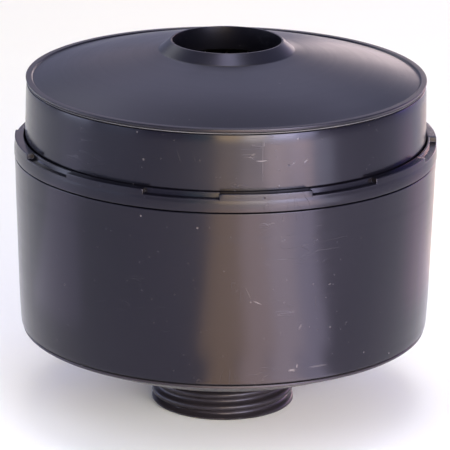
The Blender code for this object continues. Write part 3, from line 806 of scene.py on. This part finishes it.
# ================================================================ grids
def make_grid(name, rings, z0, z1, mat, spokes, hub_spokes, width=2.0):
    """Moulded grid: hoops and straight spokes on a fine polar lattice, edges rounded by a bevel."""
    steps = 240
    radii = sorted({round(r, 4) for pair in rings for r in pair})
    inner = []
    for a, b in zip(radii, radii[1:]):
        inner += list(np.linspace(a, b, max(2, int((b - a) / 2.0) + 1)))[:-1]
    inner.append(radii[-1])
    radii = inner
    az = (np.arange(steps) + 0.5) * 360.0 / steps
    gap_no = {}
    hoops = sorted(rings)

    def filled(i, j):
        mid = (radii[i] + radii[i + 1]) / 2
        for a, b in hoops:
            if a < mid < b:
                return True
        count = hub_spokes if mid < hoops[1][0] else spokes
        here = (j + 1.0) * 360.0 / steps
        near = round(here / (360.0 / count)) * (360.0 / count)
        return abs(here - near) * math.pi / 180 * mid < width / 2 + 0.4 * mid * math.radians(360 / steps)

    verts = np.concatenate([place(np.full(steps, r), z, az) for z in (z0, z1) for r in radii])
    m = len(radii)

    def vid(layer, i, j):
        return (layer * m + i) * steps + j % steps

    faces = []
    solid = [[filled(i, j) for j in range(steps)] for i in range(m - 1)]
    for i in range(m - 1):
        for j in range(steps):
            if not solid[i][j]:
                continue
            n = j + 1
            faces.append((vid(1, i, j), vid(1, i + 1, j), vid(1, i + 1, n), vid(1, i, n)))
            faces.append((vid(0, i, j), vid(0, i, n), vid(0, i + 1, n), vid(0, i + 1, j)))
            if i + 1 == m - 1 or not solid[i + 1][j]:
                faces.append((vid(0, i + 1, j), vid(0, i + 1, n), vid(1, i + 1, n), vid(1, i + 1, j)))
            if radii[i] > 0 and not solid[i - 1][j]:
                faces.append((vid(0, i, j), vid(1, i, j), vid(1, i, n), vid(0, i, n)))
            if not solid[i][(j - 1) % steps]:
                faces.append((vid(0, i, j), vid(0, i + 1, j), vid(1, i + 1, j), vid(1, i, j)))
            if not solid[i][(j + 1) % steps]:
                faces.append((vid(0, i, n), vid(1, i, n), vid(1, i + 1, n), vid(0, i + 1, n)))
    obj = mesh_object(name, verts, faces, mat, 34)
    bm = bmesh.new()
    bm.from_mesh(obj.data)
    bmesh.ops.delete(bm, geom=[v for v in bm.verts if not v.link_faces], context="VERTS")
    bm.to_mesh(obj.data)
    bm.free()
    bev = obj.modifiers.new("round", "BEVEL")
    bev.width = 0.18 * MM
    bev.segments = 2
    bev.limit_method = "ANGLE"
    bev.angle_limit = math.radians(50)
    return obj


put(make_grid("lower_grid_fine", [(0, 6), (19, 21.5), (34, 36.5), (49.8, PACK_R)], 27.8, 29.8, mat_inner, 12, 6), ROOT, "lower_grid", slot="inner_plastic")
put(make_grid("separator_plate_fine", [(0, 5), (15, 18.5), (28.5, 32), (42, PACK_R)], 48.3, 49.9, mat_inner, 12, 6), ROOT, "separator_plate", slot="inner_plastic")
put(make_grid("upper_grid_fine", [(0, 6), (19, 21.5), (34, 36.5), (48.8, 51.7)], 66.0, 68.4, mat_inner, 12, 6), ROOT, "upper_grid", slot="inner_plastic")


# ================================================================ inlet diffuser
def make_diffuser():
    stations = []
    for k in range(8):
        for i in range(13):
            stations.append((k * 45.0 + 20.0 * i / 12, True))
        for i in range(15):
            stations.append((k * 45.0 + 20.0 + 25.0 * i / 14, False))
    rows = []
    for az, leg in stations:
        base = 19.4 if leg else 25.0
        o = [(0, 26.6), (0, 25.0)] + [(r, 25.0) for r in (4, 8, 12, 16)] + [(17.5, 25.0), (17.6, 24.95 if leg else 25.0)]
        o += [(17.6, base + (0.2 if leg else 0)), (17.8, base), (20.0, base), (20.2, base + (0.2 if leg else 0)), (20.2, 25.05), (20.2, 25.9)]
        o += [(20.15, 26.15), (19.95, 26.4), (19.7, 26.55), (19.4, 26.6)] + [(r, 26.6) for r in (16, 12, 8, 4)]
        rows.append((az, o))
    return swept("inlet_diffuser_fine", rows, mat_inner, 40)


put(make_diffuser(), ROOT, "inlet_diffuser", slot="inner_plastic")


# ================================================================ wave spring
def make_wave_spring():
    rows = []
    for i in range(288):
        az = i * 1.25
        z = 70.0 + 1.0 * math.cos(math.radians(4 * az))
        o = fillet([(46.5, z - 0.25), (51.4, z - 0.25), (51.4, z + 0.25), (46.5, z + 0.25)], 0.1, 3)
        rows.append((az, o))
    return swept("wave_spring_fine", rows, mat_spring, 50)


put(make_wave_spring(), ROOT, "wave_spring", slot="spring_steel")


# ================================================================ pleated element
def make_pleat_frame():
    o = fillet([(47.4, 73.9), (52.8, 73.9), (52.8, 88.9), (50.6, 88.9), (50.6, 75.0), (47.4, 75.0)], [0.3, 0.4, 0.4, 0.3, 0.2, 0.3], 5)
    return turned("pleat_frame_fine", densify(o, 1.5), mat_inner, 288)


put(make_pleat_frame(), ROOT, "pleat_frame", slot="inner_plastic")


def make_pleated_pack():
    """Zigzag paper with rounded folds, clipped to the frame's bore. The sheet is laid out as a graph z(x) with a
    thickness, so the round outline is met exactly by giving each x its own chord."""
    radius, z0, z1, pitch, thick = 50.1, 75.6, 88.2, 6.2, 1.2
    mid, amp = (z0 + z1) / 2, (z1 - z0) / 2 - thick * 0.8
    n = 420
    xs = np.linspace(-radius + 0.15, radius - 0.15, n)
    tri = 2 / math.pi * np.arcsin(0.985 * np.cos(2 * np.pi * xs / pitch)) / (2 / math.pi * math.asin(0.985))
    zc = mid + amp * tri
    half = thick * 0.8 * (1 + 0.0 * xs)
    chord = np.sqrt(np.maximum(radius**2 - xs**2, 0.2))
    m = 33
    verts, faces = [], []
    rng = np.random.RandomState(11)
    waver = np.cumsum(rng.normal(0, 0.02, n))
    waver -= np.linspace(waver[0], waver[-1], n)
    for layer in (1, -1):
        for i in range(n):
            ys = np.linspace(-chord[i], chord[i], m)
            for y in ys:
                sway = 0.10 * math.sin(y * 0.11 + 0.7 * layer * 0) + waver[i] * 0.2
                verts.append(((xs[i] + sway * (1 - (xs[i] / radius) ** 2)) * MM, y * MM, (zc[i] + layer * half[i]) * MM))

    def vid(layer, i, j):
        return (layer * n + i) * m + j

    for i in range(n - 1):
        for j in range(m - 1):
            faces.append((vid(0, i, j), vid(0, i + 1, j), vid(0, i + 1, j + 1), vid(0, i, j + 1)))
            faces.append((vid(1, i, j), vid(1, i, j + 1), vid(1, i + 1, j + 1), vid(1, i + 1, j)))
        faces.append((vid(0, i, 0), vid(1, i, 0), vid(1, i + 1, 0), vid(0, i + 1, 0)))
        faces.append((vid(0, i, m - 1), vid(0, i + 1, m - 1), vid(1, i + 1, m - 1), vid(1, i, m - 1)))
    for j in range(m - 1):
        faces.append((vid(0, 0, j), vid(0, 0, j + 1), vid(1, 0, j + 1), vid(1, 0, j)))
        faces.append((vid(0, n - 1, j), vid(1, n - 1, j), vid(1, n - 1, j + 1), vid(0, n - 1, j + 1)))
    return mesh_object("pleated_pack_fine", verts, faces, mat_paper, 60)


put(make_pleated_pack(), ROOT, "pleated_pack", slot="pleat_paper")


# ================================================================ floor and light
def make_floor():
    mesh = bpy.data.meshes.new("floor")
    s = 2.5
    mesh.from_pydata([(-s, -s, -0.0004), (s, -s, -0.0004), (s, s, -0.0004), (-s, s, -0.0004)], [], [(0, 1, 2, 3)])
    t = Tree("floor_paper")
    n = t.noise(t.pos, 30.0, 3.0, 0.5)
    t.set(color=t.mix(n, (0.92, 0.92, 0.92), (0.94, 0.94, 0.94)), rough=0.8, spec=0.1)
    mesh.materials.append(t.mat)
    floor = bpy.data.objects.new("floor", mesh)
    scene.collection.objects.link(floor)


make_floor()


# Panels of soft light round the part. Each one's last entry is its radiance in red, green and blue.
LYING = [      # azimuth, distance, width, length: flat on the floor, facing up
    (0, 0.25, 0.055, 0.24, (3.37, 2.08, 0.64)),
    (13, 0.25, 0.055, 0.24, (5.55, 4.05, 2.92)),
    (26, 0.25, 0.055, 0.24, (6.29, 5.18, 4.64)),
    (38, 0.25, 0.055, 0.24, (3.76, 3.45, 3.82)),
    (-90, 0.25, 0.1, 0.24, (0.39, 0.32, 0.49)),
    (118, 0.25, 0.1, 0.24, (0.27, 0.05, 0.14)),
    (150, 0.25, 0.1, 0.24, (0.41, 0.19, 0.07)),
    (27, 0.43, 0.09, 0.22, (7.16, 5, 3.23)),
    (40, 0.43, 0.09, 0.22, (9.68, 7.07, 5.32)),
    (52, 0.43, 0.09, 0.22, (3.1, 3.25, 3.4)),
    (0, 0.1, 0.024, 0.06, (3.37, 2.08, 0.64)),
    (13, 0.1, 0.024, 0.06, (5.55, 4.05, 2.92)),
    (26, 0.1, 0.024, 0.06, (6.29, 5.18, 4.64)),
    (38, 0.1, 0.024, 0.06, (3.76, 3.45, 3.82)),
]
STANDING = [   # azimuth, width, height: upright on the floor 0.6 m away
    (-12, 0.14, 0.3, (0.09, 0.53, 0.53)),
    (2, 0.14, 0.3, (9.6, 7.2, 3.3)),
    (16, 0.14, 0.3, (15.0, 13.6, 10.0)),
    (30, 0.14, 0.3, (16.5, 16.3, 17.0)),
    (42, 0.14, 0.3, (8.6, 8.6, 10.0)),
    (-90, 0.26, 0.3, (2.82, 3.09, 3.46)),
    (-60, 0.26, 0.3, (0.91, 1.07, 1.14)),
    (120, 0.26, 0.3, (0, 0, 1.11)),
    (145, 0.26, 0.3, (0.51, 0.5, 0.86)),
]
FAR = [        # azimuth, elevation, width, height: 1.3 m away
    (125, 5, 0.32, 0.2, (7.23, 4.1, 3.2)),
    (148, 5, 0.32, 0.2, (8.57, 4.75, 3.89)),
    (168, 5, 0.32, 0.2, (4.1, 3.31, 3.12)),
    (-125, 5, 0.32, 0.2, (3.21, 3.62, 5.23)),
    (180, 16, 0.5, 0.2, (0.42, 0.29, 0.23)),
    (180, 38, 0.7, 0.4, (0.8, 0.77, 1.01)),
    (-145, 36, 0.5, 0.5, (1.78, 1.81, 1.7)),
    (41, 78.5, 0.24, 0.24, (7.2, 7.7, 8.8)),
    (0, 45, 0.8, 0.6, (1.6, 1.7, 1.6)),
]


def panel(name, width, height, radiance, place_at, facing, spread=180.0):
    """An area light, not seen by the camera itself. facing is a rotation whose -Z is the way the light goes."""
    top = max(radiance)
    data = bpy.data.lights.new(name, "AREA")
    data.shape = "RECTANGLE"
    data.size, data.size_y = width, height
    data.spread = math.radians(spread)
    data.energy = top * math.pi * width * height
    data.color = tuple(c / top for c in radiance)
    lamp = bpy.data.objects.new(name, data)
    lamp.location = place_at
    lamp.rotation_mode = "QUATERNION"
    lamp.rotation_quaternion = facing
    lamp.visible_camera = False
    scene.collection.objects.link(lamp)


def aimed(name, width, height, radiance, place_at, target, spread=180.0):
    way = (Vector(place_at) - Vector(target)).normalized()
    panel(name, width, height, radiance, place_at, way.to_track_quat("Z", "Y"), spread)


for k, (az, r, w, h, rad) in enumerate(LYING):
    a = math.radians(az)
    out, side = Vector((math.sin(a), -math.cos(a), 0)), Vector((math.cos(a), math.sin(a), 0))
    turn = Matrix(((-side.x, out.x, 0), (-side.y, out.y, 0), (0, 0, -1))).to_quaternion()
    panel("lying_%02d" % k, w, h, rad, out * r + Vector((0, 0, 0.003)), turn)
for k, (az, w, h, rad) in enumerate(STANDING):
    a = math.radians(az)
    aimed("standing_%02d" % k, w, h, rad, (0.6 * math.sin(a), -0.6 * math.cos(a), h / 2 + 0.005), (0, 0, 0.05))
for k, (az, el, w, h, rad) in enumerate(FAR):
    a, e = math.radians(az), math.radians(el)
    way = Vector((math.sin(a) * math.cos(e), -math.cos(a) * math.cos(e), math.sin(e)))
    aimed("far_%02d" % k, w, h, rad, Vector((0, 0, 0.07)) + way * 1.3, (0, 0, 0.07))
aimed("floor_behind", 0.6, 0.5, (0.51, 0.45, 0.08), (0, 0.42, 1.0), (0, 0.42, 0), 60.0)
aimed("floor_under", 0.3, 0.3, (0.24, 0.23, 0.27), (0, 0.03, 1.3), (0, 0.03, 0), 24.0)

world = bpy.data.worlds.new("studio")
world.use_nodes = True
bg = world.node_tree.nodes["Background"]
bg.inputs[0].default_value = (0.359, 0.374, 0.558, 1.0)
bg.inputs[1].default_value = 1.0
scene.world = world
